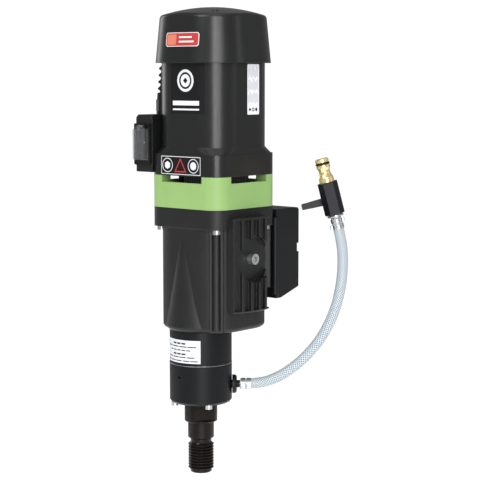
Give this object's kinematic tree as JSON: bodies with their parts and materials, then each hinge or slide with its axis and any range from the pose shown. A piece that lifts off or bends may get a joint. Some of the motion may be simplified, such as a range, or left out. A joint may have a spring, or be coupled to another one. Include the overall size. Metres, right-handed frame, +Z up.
{
  "type": "wet core drill motor",
  "caption": "Wet core drill motor with a keyed rear block, threaded spindle, water collar with hose and ball valve, finned gearbox, switch box and ribbed cable boot.",
  "frame": {"origin": "centre of the stand bolt pattern on the rear mounting face", "axes": "+Z up along the spindle, away from the drill bit; +Y out of the mounting face, away from the machine; +X to the machine's left as seen from behind"},
  "size_m": [0.2144, 0.1684, 0.5685],
  "materials": {
    "charcoal_paint": "satin",
    "dark_casting": "satin",
    "green_ring": "satin",
    "black_plastic": "matte",
    "black_rubber": "matte",
    "black_steel": "oiled",
    "steel": "ground",
    "zinc": "plated",
    "brass": "turned",
    "copper": "lacquered",
    "valve_paint": "gloss",
    "clear_plastic": "clear",
    "hose_plastic": "translucent",
    "carbon": "matte",
    "laminations": "varnished",
    "board": "coated"
  },
  "bodies": {
    "machine": {"air_guide": "black_plastic", "bearing_plate": "steel", "bearing_retaining_ring": "steel", "block_screws": "zinc", "brass_nipple": "brass", "brush_holders": "black_plastic", "brush_springs": "steel", "cable_gland": "black_plastic", "cap_screws": "zinc", "carbon_brushes": "carbon", "collar_screws": "zinc", "cover_hinge_lugs": "black_plastic", "electronics_module": "board", "field_windings": "copper", "finned_side_cover": "charcoal_paint", "fork_rail": "steel", "gearbox_housing": "charcoal_paint", "hose_clamps": "zinc", "hose_tail": "brass", "housing_screws": "zinc", "intermediate_ring": "green_ring", "kink_boot": "black_rubber", "layshaft_bearings": "steel", "motor_housing": "charcoal_paint", "mounting_block": "dark_casting", "neck_gasket": "steel", "rotor_bearings": "steel", "side_cover_screw": "zinc", "spindle_lower_bearing": "steel", "spindle_neck": "dark_casting", "spindle_needle_bearing": "steel", "stator_core": "laminations", "switch_bezel": "black_plastic", "switch_box": "black_plastic", "top_cap": "charcoal_paint", "valve_body": "valve_paint", "water_collar": "dark_casting", "water_hose": "hose_plastic", "water_inlet": "zinc", "water_seals": "black_rubber"},
    "rotor": {"rotor_shaft": "steel", "rotor_core": "laminations", "commutator": "copper", "cooling_fan": "black_plastic", "armature_windings": "copper"},
    "layshaft": {"layshaft": "steel", "layshaft_gears": "steel"},
    "spindle": {"spindle": "black_steel", "spindle_spacer": "steel"},
    "low_gear": {"spindle_low_gear": "steel"},
    "high_gear": {"spindle_high_gear": "steel"},
    "sleeve": {"dog_sleeve": "steel"},
    "selector": {"selector_knob": "black_plastic", "selector_shaft": "steel"},
    "fork": {"shift_fork": "steel"},
    "rocker": {"rocker_switch": "black_plastic"},
    "switch_cover": {"switch_cover": "clear_plastic"},
    "valve_handle": {"valve_ball": "zinc", "valve_lever": "zinc", "lever_screw": "zinc"}
  },
  "joints": [
    {"name": "rotor_spin", "type": "hinge", "parent": "machine", "child": "rotor", "pos_m": [0, -0.102, 0.165], "axis": [0, 0, 1], "continuous": true},
    {"name": "layshaft_spin", "type": "hinge", "parent": "machine", "child": "layshaft", "pos_m": [0.02746, -0.10046, -0.02], "axis": [0, 0, 1], "continuous": true},
    {"name": "spindle_spin", "type": "hinge", "parent": "machine", "child": "spindle", "pos_m": [0, -0.126, -0.1], "axis": [0, 0, 1], "continuous": true},
    {"name": "low_gear_spin", "type": "hinge", "parent": "machine", "child": "low_gear", "pos_m": [0, -0.126, -0.06], "axis": [0, 0, 1], "continuous": true},
    {"name": "high_gear_spin", "type": "hinge", "parent": "machine", "child": "high_gear", "pos_m": [0, -0.126, -0.01], "axis": [0, 0, 1], "continuous": true},
    {"name": "selector_turn", "type": "hinge", "parent": "machine", "child": "selector", "pos_m": [-0.0566, -0.097, -0.039], "axis": [1, 0, 0], "range_deg": [0, 120]},
    {"name": "sleeve_slide", "type": "slide", "parent": "spindle", "child": "sleeve", "axis": [0, 0, 1], "range_m": [0, 0.012]},
    {"name": "fork_slide", "type": "slide", "parent": "machine", "child": "fork", "axis": [0, 0, 1], "range_m": [0, 0.012]},
    {"name": "rocker_press", "type": "hinge", "parent": "machine", "child": "rocker", "pos_m": [-0.06365, -0.158, 0.13125], "axis": [1, 0, 0], "range_deg": [0, 16]},
    {"name": "cover_lift", "type": "hinge", "parent": "machine", "child": "switch_cover", "pos_m": [-0.06365, -0.1642, 0.15275], "axis": [-1, 0, 0], "range_deg": [0, 110]},
    {"name": "valve_turn", "type": "hinge", "parent": "machine", "child": "valve_handle", "pos_m": [0.12038, -0.02136, 0.06327], "axis": [-0.6561, 0.7547, 0], "range_deg": [0, 90]}
  ],
  "couplings": [
    {"joint": "layshaft_spin", "follows": "rotor_spin", "ratio": -0.29412},
    {"joint": "spindle_spin", "follows": "rotor_spin", "ratio": 0.092879},
    {"joint": "low_gear_spin", "follows": "rotor_spin", "ratio": 0.092879},
    {"joint": "high_gear_spin", "follows": "rotor_spin", "ratio": 0.16544},
    {"joint": "selector_turn", "follows": "sleeve_slide", "rad_per_m": 174.53},
    {"joint": "fork_slide", "follows": "sleeve_slide", "ratio": 1}
  ]
}
